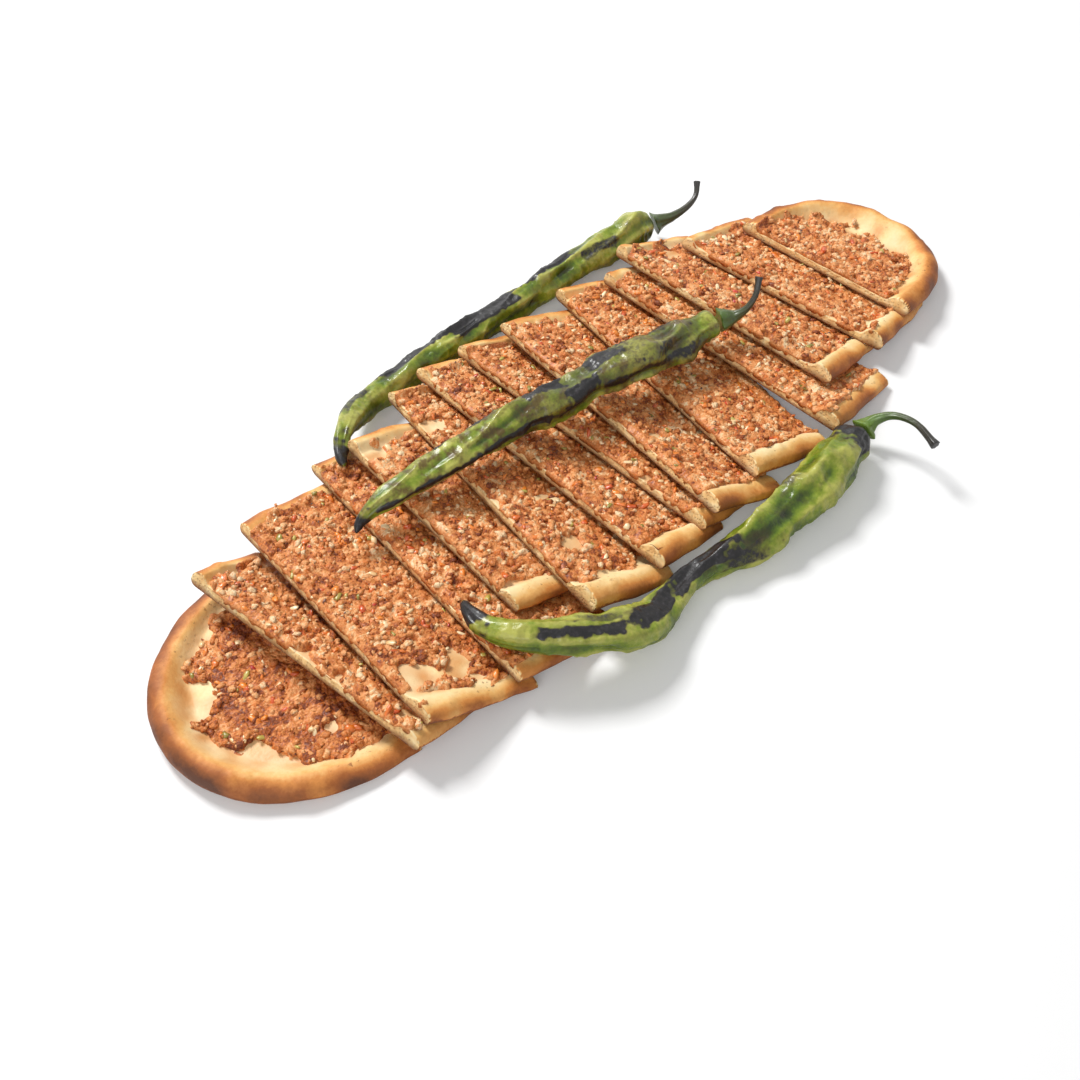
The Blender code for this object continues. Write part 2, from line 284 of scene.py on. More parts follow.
def add_piece(name, points, faces, materials, values=None, indices=None, merge=True,
              nodes=()):
    """A finished mesh piece riding on the body; values are named numbers kept on its points."""
    mesh = bpy.data.meshes.new(name)
    faces = np.asarray(faces)
    corners = faces.shape[1]
    mesh.vertices.add(len(points))
    mesh.vertices.foreach_set("co", np.asarray(points, np.float32).ravel())
    mesh.loops.add(faces.size)
    mesh.loops.foreach_set("vertex_index", faces.astype(np.int32).ravel())
    mesh.polygons.add(len(faces))
    mesh.polygons.foreach_set("loop_start", np.arange(0, faces.size, corners, dtype=np.int32))
    for key, numbers in (values or {}).items():
        layer = mesh.attributes.new(key, "FLOAT", "POINT")
        layer.data.foreach_set("value", np.asarray(numbers, np.float32).ravel())
    for material in materials:
        mesh.materials.append(material)
    if indices is not None:
        mesh.polygons.foreach_set("material_index", np.asarray(indices, np.int32))
    mesh.update(calc_edges=True)
    mesh.validate()
    if merge:
        work = bmesh.new()
        work.from_mesh(mesh)
        bmesh.ops.remove_doubles(work, verts=work.verts, dist=2e-6)
        bmesh.ops.dissolve_degenerate(work, edges=work.edges, dist=1e-7)
        bmesh.ops.recalc_face_normals(work, faces=work.faces)
        work.to_mesh(mesh)
        work.free()
    mesh.shade_smooth()
    obj = bpy.data.objects.new(name, mesh)
    bpy.context.scene.collection.objects.link(obj)
    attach(obj, "root")
    if nodes:
        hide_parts(*nodes)
    return obj


def srgb(red, green, blue):
    """A colour given in 0..255 screen numbers, as the linear values that a shader takes."""
    c = np.array([red, green, blue]) / 255.0
    return (*np.where(c <= 0.04045, c / 12.92, ((c + 0.055) / 1.055) ** 2.4), 1.0)


def link_up(tree, *pairs):
    for source, target in pairs:
        tree.links.new(source, target)


def ramp(tree, fac, stops):
    """A colour ramp node over fac with (position, screen colour) stops."""
    node = tree.nodes.new("ShaderNodeValToRGB")
    while len(node.color_ramp.elements) < len(stops):
        node.color_ramp.elements.new(0.5)
    for element, (position, colour) in zip(node.color_ramp.elements, stops):
        element.position = position
        element.color = srgb(*colour)
    tree.links.new(fac, node.inputs["Fac"])
    return node.outputs["Color"]


def plug(tree, socket, value):
    """Gives a socket a number or a screen colour, or links it to another socket."""
    if isinstance(value, tuple):
        socket.default_value = srgb(*value)
    elif isinstance(value, (int, float)):
        socket.default_value = value
    elif value is not None:
        tree.links.new(value, socket)


def maths(tree, operation, a, b=0.5, c=None, clamp=False):
    """A Math node; a, b and c are sockets or numbers."""
    node = tree.nodes.new("ShaderNodeMath")
    node.operation, node.use_clamp = operation, clamp
    for socket, value in zip(node.inputs, (a, b, c)):
        plug(tree, socket, value)
    return node.outputs[0]


def waver(tree, noisy, amount, base, clamp=False):
    """base plus amount times how far a noise is from its middle of a half."""
    return maths(tree, "MULTIPLY_ADD", maths(tree, "SUBTRACT", noisy, 0.5), amount, base, clamp)


def mixed(tree, fac, a, b, how="MIX"):
    """A colour Mix node; a and b are sockets or screen colours."""
    node = tree.nodes.new("ShaderNodeMix")
    node.data_type, node.blend_type = "RGBA", how
    for socket, value in ((node.inputs[0], fac), (node.inputs[6], a), (node.inputs[7], b)):
        plug(tree, socket, value)
    return node.outputs[2]


def noise(tree, scale, detail=3.0, rough=0.55, seed=0.0):
    """Noise over Object coordinates, moved by its seed; gives its value."""
    coords = tree.nodes.new("ShaderNodeTexCoord")
    mapping = tree.nodes.new("ShaderNodeMapping")
    mapping.inputs["Location"].default_value = (seed, seed * 1.7, -seed)
    node = tree.nodes.new("ShaderNodeTexNoise")
    node.inputs["Scale"].default_value = scale
    node.inputs["Detail"].default_value = detail
    node.inputs["Roughness"].default_value = rough
    link_up(tree, (coords.outputs["Object"], mapping.inputs["Vector"]),
            (mapping.outputs["Vector"], node.inputs["Vector"]))
    return node.outputs["Fac"]


def kept(tree, name):
    """A number kept on the piece's own points."""
    node = tree.nodes.new("ShaderNodeAttribute")
    node.attribute_name = name
    return node.outputs["Fac"]


def bump(tree, height, strength, distance):
    """A Bump node's normal for a height given in millimetres."""
    node = tree.nodes.new("ShaderNodeBump")
    node.inputs["Strength"].default_value = strength
    node.inputs["Distance"].default_value = distance * MM
    tree.links.new(height, node.inputs["Height"])
    return node.outputs["Normal"]


def new_material(name, roughness=0.6, coat=0.0, coat_rough=0.2):
    """A node material with one Principled shader; returns material, tree and shader."""
    material = bpy.data.materials.new(name)
    material.use_nodes = True
    tree = material.node_tree
    shader = tree.nodes["Principled BSDF"]
    shader.inputs["Roughness"].default_value = roughness
    shader.inputs["Coat Weight"].default_value = coat
    shader.inputs["Coat Roughness"].default_value = coat_rough
    return material, tree, shader


def crust_finish():
    """Baked skin: pale on the inner slope, golden on the crest, brown at the foot and underside."""
    material, tree, shader = new_material("baked_crust", 0.5)
    blotch = noise(tree, 90, 4, 0.6)
    fine = noise(tree, 520, 3, 0.6, seed=3.0)
    bake_and_shade = waver(tree, blotch, 0.42, kept(tree, "bake_and_shade"))
    bake_and_shade = waver(tree, fine, 0.16, bake_and_shade, clamp=True)
    colour = ramp(tree, bake_and_shade, [(0.0, (253, 230, 180)), (0.18, (250, 216, 154)),
                               (0.36, (240, 184, 108)), (0.54, (214, 138, 64)),
                               (0.74, (164, 92, 36)), (1.0, (92, 48, 20))])
    colour = mixed(tree, kept(tree, "oil"), colour, (216, 150, 74), "MULTIPLY")
    spots = noise(tree, 420, 2, 0.5, seed=9.0)
    toasted = maths(tree, "MULTIPLY", ramp(tree, spots, [(0.62, (0, 0, 0)), (0.72, (255, 255, 255))]),
                    kept(tree, "spot"), clamp=True)
    colour = mixed(tree, toasted, colour, (142, 80, 34))
    rough = maths(tree, "MULTIPLY_ADD", kept(tree, "oil"), -0.28, 0.56)
    rough = maths(tree, "MULTIPLY_ADD", fine, 0.14, rough, clamp=True)
    skin = maths(tree, "ADD", maths(tree, "MULTIPLY", fine, 0.5), noise(tree, 190, 4, 0.6, seed=6.0))
    link_up(tree, (colour, shader.inputs["Base Color"]), (rough, shader.inputs["Roughness"]),
            (bump(tree, skin, 0.45, 0.9), shader.inputs["Normal"]))
    return material


def crumb_finish():
    """Cut crumb: pale and open, with painted shade in its pores, and darker at the bottom: a toasted crust
    line widened by painted shade.
    """
    material, tree, shader = new_material("cut_crumb", 0.85)
    coords = tree.nodes.new("ShaderNodeTexCoord")
    pores = tree.nodes.new("ShaderNodeTexVoronoi")
    pores.inputs["Scale"].default_value = 620
    tree.links.new(coords.outputs["Object"], pores.inputs["Vector"])
    holes = ramp(tree, pores.outputs["Distance"], [(0.05, (0, 0, 0)), (0.45, (255, 255, 255))])
    patch = noise(tree, 160, 4, 0.6, seed=2.0)
    colour = ramp(tree, patch, [(0.3, (232, 180, 116)), (0.5, (250, 212, 148)), (0.7, (255, 232, 182))])
    # Painted shade: the pores are darkened toward brown.
    colour = mixed(tree, maths(tree, "MULTIPLY_ADD", holes, -0.4, 0.4), colour, (176, 108, 52))
    # Along the bottom of the cut the crumb is darkened: a thin toasted bottom crust, widened into painted
    # shade over the lower half of the face.
    colour = mixed(tree, kept(tree, "bake_and_shade"), colour, (120, 58, 18))
    link_up(tree, (colour, shader.inputs["Base Color"]),
            (bump(tree, holes, 0.7, 1.0), shader.inputs["Normal"]))
    return material


CRUST, CRUMB = crust_finish(), crumb_finish()
STEPS_ACROSS = 46           # rows of points from the raised cut to the low cut
FLOOR_STEPS = 118           # points along a strip's floor
CUT_STEPS = 6               # points up a cut face


def rim_bake(piece, x, y, inset, z, under):
    """How dark the crust is baked: strongest at the foot, golden on the crest, pale inside."""
    wander = 0.22 * drift(x / 12, y / 12, 0 * x + piece["number"], 21)
    strength, reach = (0.80, 11.5) if piece["round"] else (0.60, 8.0)
    tone = 0.05 + strength * np.exp(-(inset / reach) ** 2) + 0.12 * ease(1 - z / 4.0)
    tone = tone + wander * (0.35 + np.exp(-inset / 12.0))
    return np.where(under, 0.84 + 0.5 * wander, tone)


def bread_shell(piece):
    """Points of the upper and lower faces of one piece, and the two lines round its cut.

    The profile (inset from the outline, height) is carried across the cut direction on a
    strip and round a superellipse on an end piece; make_bread swells it afterwards with slow
    noise and blisters."""
    sheets = []
    if piece["round"]:
        angle = np.linspace(-np.pi / 2, np.pi / 2, 150)[:, None]
        c, s = np.cos(angle), np.sin(angle)
        c[0], c[-1] = 0.0, 0.0
        rim, wide, _ = rim_sizes(piece, None, c, s)
        power = 2 / piece["blunt"]
        curves = ((over_rim(rim, wide, crest_inset(piece, True), 16, 16), wide, 33, 0.9, BREAD, 1),
                  (under_rim(rim, 9), FOOT, 23, 1.0, 0.0, -1))
        for (inset, z, out, up), start, rings, spread, level, facing in curves:
            inner = np.linspace(0, 1, rings + 1)[1:] ** spread
            inner = start + (piece["half"] - start) * inner + 0 * rim
            inset = np.concatenate([inset, inner], axis=1)
            z = np.concatenate([z, level + 0 * inner], axis=1)
            out = np.concatenate([out, np.zeros(rings)])
            up = np.concatenate([up, np.full(rings, facing)])
            x = (piece["length"] - inset) * c ** power
            y = (piece["half"] - inset) * np.sign(s) * np.abs(s) ** power
            sheets.append([x, y, z, out * c, out * s, up + 0 * z, inset, inset])
        return sheets
    x = np.linspace(0, piece["width"], STEPS_ACROSS)[:, None]
    rim, wide_front, wide_back = rim_sizes(piece, x)
    half = half_length(piece, x)
    rims = [rim * puff for puff in piece["puff"]]
    curves = ((over_rim(rims[0], wide_front, crest_inset(piece, True)),
               over_rim(rims[1], wide_back, crest_inset(piece, False)), BREAD, 1),
              (under_rim(rims[0]), under_rim(rims[1]), 0.0, -1))
    total = 2 * curves[0][0][0].shape[1] + FLOOR_STEPS
    for (f_in, f_z, out, up), (b_in, b_z, _, _), level, facing in curves:
        share = np.linspace(0, 1, total - 2 * len(out))[1:-1]
        y0, y1 = f_in[:, -1:] - half, half - b_in[:, -1:]
        y = np.concatenate([f_in - half, y0 + (y1 - y0) * share, (half - b_in)[:, ::-1]], axis=1)
        z = np.concatenate([f_z, level + 0 * x + 0 * share, b_z[:, ::-1]], axis=1)
        flat = np.zeros(len(share))
        sheets.append([x + 0 * y, y, z, 0 * y, np.concatenate([-out, flat, out[::-1]]) + 0 * y,
                       np.concatenate([up, flat + facing, up[::-1]]) + 0 * y, y + half, half - y])
    return sheets


def swell(piece, x, y, z, inset, puff):
    """Outward swelling in millimetres: slow lumps on the rim, small ones everywhere, blisters."""
    n = piece["number"]
    rim = np.exp(-(inset / 13.0) ** 2)
    slow = drift(x / 13, y / 13, z / 13 + n * 2.3, 31)
    quick = drift(x / 4.5, y / 4.5, z / 5 + n * 1.1, 33)
    return (rim * (0.25 + 1.15 * slow) * puff + 0.22 * quick
            + 0.9 * rim * blisters(x + 3 * slow, y + z, 9.0, n))


def make_bread(piece):
    """One closed piece of bread: upper face, underside and the rough cut faces between them."""
    n = piece["number"]
    points, faces, values, indices, lines = [], [], {"bake_and_shade": [], "oil": [], "spot": []}, [], []
    count = 0
    for under, (x, y, z, dx, dy, dz, front, back) in enumerate(bread_shell(piece)):
        inset = np.minimum(front, back)
        grow = swell(piece, x, y, z, inset, np.where(front < back, *piece["puff"]))
        grow = grow * (0.35 if under else 1.0)
        grow = np.where((z < 0.4) & (under == 1), 0.0, grow)
        share = np.clip(inset / 2.0, 0, 1)
        grow = grow * share + (1 - share) * 0.6 * drift(x / 9, y / 9, 0 * x + n, 35)
        place = lean_over(piece, x + dx * grow, y + dy * grow, np.maximum(z + dz * grow, 0.0))
        bake_and_shade = rim_bake(piece, x, y, inset, z, under == 1)
        oily = ease((inset - 9.0) / 9.0) * (0.35 + 0.5 * drift(x / 7, y / 7, 0 * x + n, 41))
        points.append(place.reshape(-1, 3))
        values["bake_and_shade"].append(bake_and_shade.ravel())
        values["oil"].append((np.clip(oily, 0, 1) * (1 - under)).ravel())
        values["spot"].append((0.75 * np.exp(-((inset - 9) / 7.0) ** 2)
                               * ease(drift(x / 16, y / 16, 0 * x + n, 43) + 0.3)).ravel())
        faces.append(grid_quads(*x.shape, start=count))
        indices.append(np.zeros(len(faces[-1]), int))
        count += x.size
        if piece["round"]:
            lines.append([np.concatenate([place[0], place[-1][::-1]])])
        else:
            lines.append([place[0], place[-1]])
    for top, low in zip(*lines):
        if len(top) != len(low):
            at = np.linspace(0, len(low) - 1, len(top))
            low = np.stack([np.interp(at, np.arange(len(low)), low[:, k]) for k in range(3)], axis=1)
        rise = np.linspace(0, 1, CUT_STEPS + 1)[:, None, None]
        wall = low + (top - low) * rise
        inward = np.array(piece["place"])[:3, 0] * (1 if top is lines[0][0] else -1)
        w = wall / MM
        rough = drift(w[..., 0] / 2.2, w[..., 1] / 2.2, w[..., 2] / 2.2, 51)
        torn = 0.35 * rough + 0.30 * drift(w[..., 0], w[..., 1], w[..., 2], 53)
        wall = wall + inward * (4 * rise * (1 - rise) * (0.05 + torn)[..., None]) * MM
        points.append(wall.reshape(-1, 3))
        # The lower half of each cut face is darkened toward the bottom: the toasted bottom crust plus
        # painted shade for the gap below the raised edge.
        edge = (1 - rise[:, :, 0]) ** 2.0 + 0 * wall[..., 0]
        values["bake_and_shade"].append(np.where(rise[:, :, 0] < 0.5, edge, 0.0).ravel())
        values["oil"].append(np.zeros(wall.shape[0] * wall.shape[1]))
        values["spot"].append(np.zeros(wall.shape[0] * wall.shape[1]))
        faces.append(grid_quads(*wall.shape[:2], start=count))
        indices.append(np.ones(len(faces[-1]), int))
        count += wall.shape[0] * wall.shape[1]
    add_piece(f"bread_piece_{n:02d}", np.concatenate(points), np.concatenate(faces), [CRUST, CRUMB],
              {k: np.concatenate(v) for k, v in values.items()}, np.concatenate(indices),
              nodes=[f"bread_{n:02d}"])


for piece in SLICES:
    make_bread(piece)


# ==== The minced meat layers ==========================================================
# Spiced minced meat with onion, tomato and pepper, spread raw on the dough and baked on:
# a thin crumbly layer, thicker in the middle, torn at its edges and cut with the bread.

BARE = {                    # bare rim in front of and behind the meat, per piece
    1: (15, 12), 2: (7, 6), 3: (9, 7), 4: (6, 8), 5: (13, 9), 6: (17, 7), 7: (14, 7),
    8: (8, 8), 9: (12, 8), 10: (13, 9), 11: (8, 8), 12: (14, 8), 13: (10, 8), 14: (15, 10),
}
BARE_PATCHES = {            # places where the bread shows: x, y from the piece's middle, radius
    1: ((66, -18, 12), (58, 30, 10)), 2: ((10, -62, 5),), 3: ((14, -56, 9), (8, -68, 8), (30, -60, 9)),
    5: ((6, 58, 5),), 6: ((8, 60, 5), (20, -50, 6)), 9: ((10, -30, 4),), 12: ((12, -8, 3),),
    13: ((12, -60, 6),), 14: ((52, 10, 8),),
}


def clumps(x, y, size, seed):
    """Crumbled meat: the nearest of one random point per lattice cell gives a dome and a tone."""
    x, y = (x + 0.6 * size * drift(x / size / 0.7, y / size / 0.7, 0 * x, seed + 1),
            y + 0.6 * size * drift(x / size / 0.7, y / size / 0.7, 0 * x + 9, seed + 2))
    u, v = x / size, y / size
    best, tone = np.full(u.shape, 9.0), np.zeros(u.shape)
    for di in (-1, 0, 1):
        for dj in (-1, 0, 1):
            ci, cj = np.floor(u) + di, np.floor(v) + dj
            px = ci + 0.1 + 0.8 * hashed(ci, cj, 1, seed)
            py = cj + 0.1 + 0.8 * hashed(ci, cj, 2, seed)
            far = (u - px) ** 2 + (v - py) ** 2
            near = far < best
            best = np.where(near, far, best)
            tone = np.where(near, hashed(ci, cj, 3, seed), tone)
    return np.clip(1 - np.sqrt(best), 0, 1), tone


def meat_surface(piece, x, y):
    """Height, tone and cover of the meat at (x, y).

    The cover falls from 1 to 0 over a ragged edge that keeps whole clumps; the height is the
    bread's plus two sizes of domes times the cover, and it sinks into the bread where bare."""
    n = piece["number"]
    dome, tone = clumps(x, y, 5.0, 100 + n)
    small, small_tone = clumps(x, y, 2.3, 200 + n)
    front, back, c, s = inset_of(piece, x, y)
    bare_front, bare_back = BARE[n]
    if piece["round"]:
        toward = 0.5 + 0.5 * s * piece["side"]
        bare_front = bare_back + (bare_front - bare_back) * toward + (18 - bare_back) * c
        bare_back = bare_front
    wander = 4.2 * drift(x / 9, y / 9, 0 * x + n, 61) + 3.2 * (tone - 0.5)
    cover = np.minimum(front - bare_front + wander, back - bare_back + wander)
    for px, py, radius in BARE_PATCHES.get(n, ()):
        cover = np.minimum(cover, np.hypot(x - px, y - py) - radius + 1.1 * wander)
    if not piece["round"]:
        cover = np.minimum(cover, 2.6 + 0.6 * wander + x)
    thin = drift(x / 12, y / 12, 0 * x + n, 63) + 0.5 * drift(x / 5, y / 5, 0 * x + n, 64)
    cover = np.minimum(cover, 3.2 * (thin + 1.22) + 1.4 * (tone - 0.5))
    cover = ease(cover / 1.7)
    grain = drift(x / 1.3, y / 1.3, 0 * x + n, 66)
    thick = (0.7 + 1.7 * dome ** 0.8 + 1.0 * small ** 0.8 + 0.5 * grain
             + 0.8 * drift(x / 8, y / 8, 0 * x + n, 65))
    thick = thick * (1.0 if piece["round"] else 0.25 + 0.75 * ease(x / 2.6))
    height = bread_top(piece, x, y) - 0.7 + cover * (0.7 + thick)
    shade = 0.62 * tone + 0.38 * small_tone - (0.22 if n == 1 else 0.0)
    return height, shade, cover, 0.6 * dome + 0.4 * small


def meat_finish():
    """Baked mince: salmon to brown by clump, painted shade in the gaps between clumps, wet with fat."""
    material, tree, shader = new_material("baked_mince", 0.45, coat=0.14, coat_rough=0.25)
    shader.inputs["Specular IOR Level"].default_value = 0.35
    fine = noise(tree, 900, 3, 0.6, seed=1.0)
    broad = noise(tree, 60, 3, 0.55, seed=5.0)
    tone = waver(tree, fine, 1.1, kept(tree, "tone"))
    tone = waver(tree, broad, 0.7, tone, clamp=True)
    colour = ramp(tree, tone, [(0.0, (120, 52, 14)), (0.2, (178, 92, 36)), (0.40, (216, 130, 64)),
                               (0.62, (238, 158, 92)), (0.82, (250, 188, 128)), (1.0, (255, 224, 178))])
    # Painted shade: the hollows between clumps, the meat's sides and the undersides of loose crumbs are
    # darkened toward a deep brown.
    crevice_shade_mix = maths(tree, "MULTIPLY", kept(tree, "deep"), 0.92, clamp=True)
    colour = mixed(tree, crevice_shade_mix, colour, (112, 50, 16))
    orange = ramp(tree, noise(tree, 330, 2, 0.5, seed=8.0), [(0.60, (0, 0, 0)), (0.68, (255, 255, 255))])
    colour = mixed(tree, maths(tree, "MULTIPLY", orange, 0.6), colour, (226, 118, 40))
    rough = maths(tree, "MULTIPLY_ADD", fine, 0.3, 0.28)
    link_up(tree, (colour, shader.inputs["Base Color"]), (rough, shader.inputs["Roughness"]),
            (bump(tree, maths(tree, "ADD", fine, noise(tree, 420, 4, 0.7, seed=7.0)), 0.8, 1.2),
             shader.inputs["Normal"]))
    return material


MINCE = meat_finish()


def make_meat(piece):
    """One closed meat layer: the crumbly upper face over a flat bed sunk into the bread."""
    n = piece["number"]
    if piece["round"]:
        angle = np.linspace(-np.pi / 2, np.pi / 2, 250)[:, None]
        part = 1 - np.linspace(0, 1, 100)[None, :] ** 0.85
        c, s = np.cos(angle), np.sin(angle)
        c[0], c[-1] = 0.0, 0.0
        power = 2 / piece["blunt"]
        inset = CREST + 1.0
        x = (piece["length"] - inset) * c ** power * part + 0.15
        y = (piece["half"] - inset) * np.sign(s) * np.abs(s) ** power * part
    else:
        x = np.linspace(0.25, piece["width"] - 0.25, int(piece["width"] / 0.85))[:, None]
        half = half_length(piece, x) - CREST
        y = half * np.linspace(-1, 1, int(2 * piece["end"] / 0.85))[None, :]
        x = x + 0 * y
    height, shade, cover, dome = meat_surface(piece, x, y)
    top = lean_over(piece, x, y, height)
    bed = lean_over(piece, x, y, bread_top(piece, x, y) - 0.9)
    # Painted shade mask: high in the hollows between the domes, faded out at the raised cut.
    deep = 1 - ease(dome * 2.4)
    if not piece["round"]:
        deep = deep * ease(x / 2.0)
    if piece["round"]:
        rim_top, rim_bed = top[:, 0], bed[:, 0]
        low = np.stack([rim_bed[::-1], np.broadcast_to(bed[:1, -1], rim_bed.shape)])
        side = np.stack([rim_top, rim_bed])
        cut = [np.concatenate([t[0], t[-1][::-1]]) for t in (top, bed)]
        walls = [side, np.stack(cut)]
        points = [top.reshape(-1, 3), bed.reshape(-1, 3)]
        faces = [grid_quads(*top.shape[:2]), grid_quads(*bed.shape[:2], start=top.shape[0] * top.shape[1])]
    else:
        edge_rows = np.stack([bed[0], bed[-1]])
        points = [top.reshape(-1, 3), edge_rows.reshape(-1, 3)]
        faces = [grid_quads(*top.shape[:2]), grid_quads(2, top.shape[1], start=top.shape[0] * top.shape[1])]
        ends = [np.stack([top[:, k], edge_rows[0, k] + (edge_rows[1, k] - edge_rows[0, k])
                          * np.linspace(0, 1, top.shape[0])[:, None]]) for k in (0, -1)]
        spill = cover[0] * (0.3 + 2.0 * ease(0.5 + 1.1 * drift(0 * y[0] + n, y[0] / 2.4, 0 * y[0], 68)))
        front = 0.25 - 0.6 * cover[0]
        lip = lean_over(piece, front, y[0], height[0] - 0.5 * cover[0])
        hem = lean_over(piece, front, y[0], bread_top(piece, x[0], y[0]) - spill)
        walls = [np.stack([top[0], lip, hem, bed[0]]), np.stack([top[-1], bed[-1]])] + ends
    count = sum(len(p) for p in points)
    # The bed and the walls get a weak, constant painted shade.
    values = {"tone": [shade.ravel(), np.full(count - shade.size, 0.4)],
              "deep": [deep.ravel(), np.full(count - shade.size, 0.3)]}
    for wall in walls:
        points.append(wall.reshape(-1, 3))
        faces.append(grid_quads(*wall.shape[:2], start=count))
        size = wall.shape[0] * wall.shape[1]
        values["tone"].append(np.full(size, 0.45))
        values["deep"].append(np.full(size, 0.25))
        count += size
    add_piece(f"meat_layer_{n:02d}", np.concatenate(points), np.concatenate(faces), [MINCE],
              {k: np.concatenate(v) for k, v in values.items()}, nodes=[f"meat_{n:02d}"])


for piece in SLICES:
    make_meat(piece)


# ==== Loose crumbs of meat and bits of vegetable ======================================
# Clumps of mince that stand free of the layer, and diced tomato, pepper and onion baked
# into it. Each kind is one piece of many small closed lumps, all of true size.

random = np.random.default_rng(7)


def lump_shape(rings=4, sides=7):
    """A unit ball of a few dozen faces: points on rings of latitude between two poles."""
    tilt = np.linspace(0, np.pi, rings + 1)[:, None]
    turn = np.linspace(0, 2 * np.pi, sides + 1)[None, :-1]
    ball = np.stack([np.sin(tilt) * np.cos(turn), np.sin(tilt) * np.sin(turn),
                     np.cos(tilt) + 0 * turn], axis=-1)
    points = np.concatenate([ball[0, :1], ball[1:-1].reshape(-1, 3), ball[-1, :1]])
    faces = []
    for k in range(sides):
        a, b = 1 + k, 1 + (k + 1) % sides
        faces.append((0, a, b))
        for r in range(rings - 2):
            a1, b1 = a + r * sides, b + r * sides
            faces += [(a1, a1 + sides, b1 + sides), (a1, b1 + sides, b1)]
        last = 1 + (rings - 2) * sides
        faces.append((len(points) - 1, last + (k + 1) % sides, last + k))
    return points, np.array(faces)


def covered(piece, spots):
    """True where a later piece lies over these places (in the model's millimetres, centred)."""
    hidden = np.zeros(len(spots), bool)
    for other in SLICES[piece["number"]:]:
        inverse = np.array(other["place"].inverted())
        x, y = ((spots - CENTRED) @ inverse[:3, :3].T + inverse[:3, 3])[:, :2].T
        hidden |= (x > -0.5) & (x < other["width"]) & (np.abs(y) < other["end"])
    return hidden


def strewn(count):
    """Random places where the meat shows, and its tone there."""
    found = []
    area = np.array([p["width"] * p["end"] * 2 * (0.75 if p["round"] else 1) for p in SLICES])
    for piece, number in zip(SLICES, (count * area / area.sum()).astype(int)):
        x = random.uniform(0.8, piece["width"] - 1, number)
        y = random.uniform(-piece["end"] + 6, piece["end"] - 6, number)
        if piece["round"]:
            keep = ((x / (piece["length"] - 8)) ** piece["blunt"]
                    + np.abs(y / (piece["half"] - 8)) ** piece["blunt"]) < 1
            x, y = x[keep], y[keep]
        height, shade, cover, dome = meat_surface(piece, x, y)
        place = lean_over(piece, x, y, height) / MM
        keep = (cover > 0.6) & ~covered(piece, place)
        found.append((place[keep], shade[keep]))
    return np.concatenate([f[0] for f in found]), np.concatenate([f[1] for f in found])


def scatter(name, places, sizes, material, tones, sink=0.2, squareness=1.0, rings=4, sides=7):
    """Many lumps as one piece: each a ball with bumpy radii, stretched, turned and sunk a little."""
    ball, ball_faces = lump_shape(rings, sides)
    count = len(places)
    shape = np.sign(ball) * np.abs(ball) ** squareness
    bumpy = 1 + 0.34 * random.uniform(-1, 1, (count, len(ball), 1))
    points = shape[None] * bumpy * sizes[:, None, :]
    turn = random.uniform(0, 2 * np.pi, (count, 2))
    tilt = random.uniform(-0.5, 0.5, (count, 1))
    ca, sa = np.cos(turn[:, :1]), np.sin(turn[:, :1])
    x, y, z = points[..., 0], points[..., 1], points[..., 2]
    x, z = x * np.cos(tilt) - z * np.sin(tilt), x * np.sin(tilt) + z * np.cos(tilt)
    points = np.stack([x * ca - y * sa, x * sa + y * ca, z], axis=-1)
    points[..., 2] += (sizes[:, 2] * (1 - 2 * sink))[:, None] * 0.5
    # Painted shade mask: the lower half of each lump is darkened, as if shaded beneath (read by the mince
    # finish).
    deep = np.clip(-points[..., 2] / sizes[:, 2:3], 0, 1)
    points = (points + places[:, None, :]) * MM
    faces = (ball_faces[None] + (np.arange(count) * len(ball))[:, None, None]).reshape(-1, 3)
    tone = np.repeat(tones[:, None], len(ball), axis=1)
    return add_piece(name, points.reshape(-1, 3), faces, [material], {"tone": tone, "deep": deep},
                     merge=False)


def bit_finish(name, dark, light, roughness=0.35):
    """A cooked vegetable bit: two tones by piece, mottled, wet."""
    material, tree, shader = new_material(name, roughness, coat=0.4, coat_rough=0.2)
    fine = noise(tree, 700, 2, 0.5, seed=4.0)
    tone = waver(tree, fine, 0.7, kept(tree, "tone"), clamp=True)
    colour = ramp(tree, tone, [(0.1, dark), (0.9, light)])
    link_up(tree, (colour, shader.inputs["Base Color"]),
            (bump(tree, fine, 0.4, 0.5), shader.inputs["Normal"]))
    return material


for kind, count in (("coarse", 5600), ("fine", 9000)):
    places, shade = strewn(count)
    low, high = (1.1, 2.1) if kind == "coarse" else (0.45, 0.95)
    radius = random.uniform(low, high, len(places))
    sizes = radius[:, None] * random.uniform((0.9, 0.75, 0.45), (1.6, 1.1, 0.8), (len(places), 3))
    tones = np.clip(shade * 0.5 + random.uniform(-0.1, 0.75, len(places)), 0, 1)
    scatter(f"mince_crumbs_{kind}", places, sizes, MINCE, tones,
            sink=0.5, rings=4 if kind == "coarse" else 3, sides=7 if kind == "coarse" else 5)

for kind, count, dark, light, low, high in (
        ("tomato", 900, (206, 84, 20), (242, 140, 44), 0.9, 2.2),
        ("red_pepper", 60, (176, 36, 16), (214, 66, 34), 0.8, 1.5),
        ("green_pepper", 260, (140, 124, 36), (200, 178, 84), 0.9, 1.9),
        ("onion", 520, (236, 190, 130), (252, 226, 178), 0.8, 1.9),
        ("spice", 900, (72, 32, 10), (112, 54, 20), 0.3, 0.7)):
    places, shade = strewn(count)
    radius = random.uniform(low, high, len(places))
    sizes = radius[:, None] * random.uniform((1.0, 0.5, 0.25), (2.0, 0.95, 0.45), (len(places), 3))
    scatter(f"bits_{kind}", places, sizes, bit_finish(f"bit_{kind}", dark, light),
            random.uniform(0, 1, len(places)), sink=0.4, squareness=0.75)


# ==== The three grilled peppers =======================================================
# Long green peppers roasted whole over coals until the skin blisters, wrinkles and chars.
# They are laid on and beside the row and are not fixed; each ends in its dried stem.

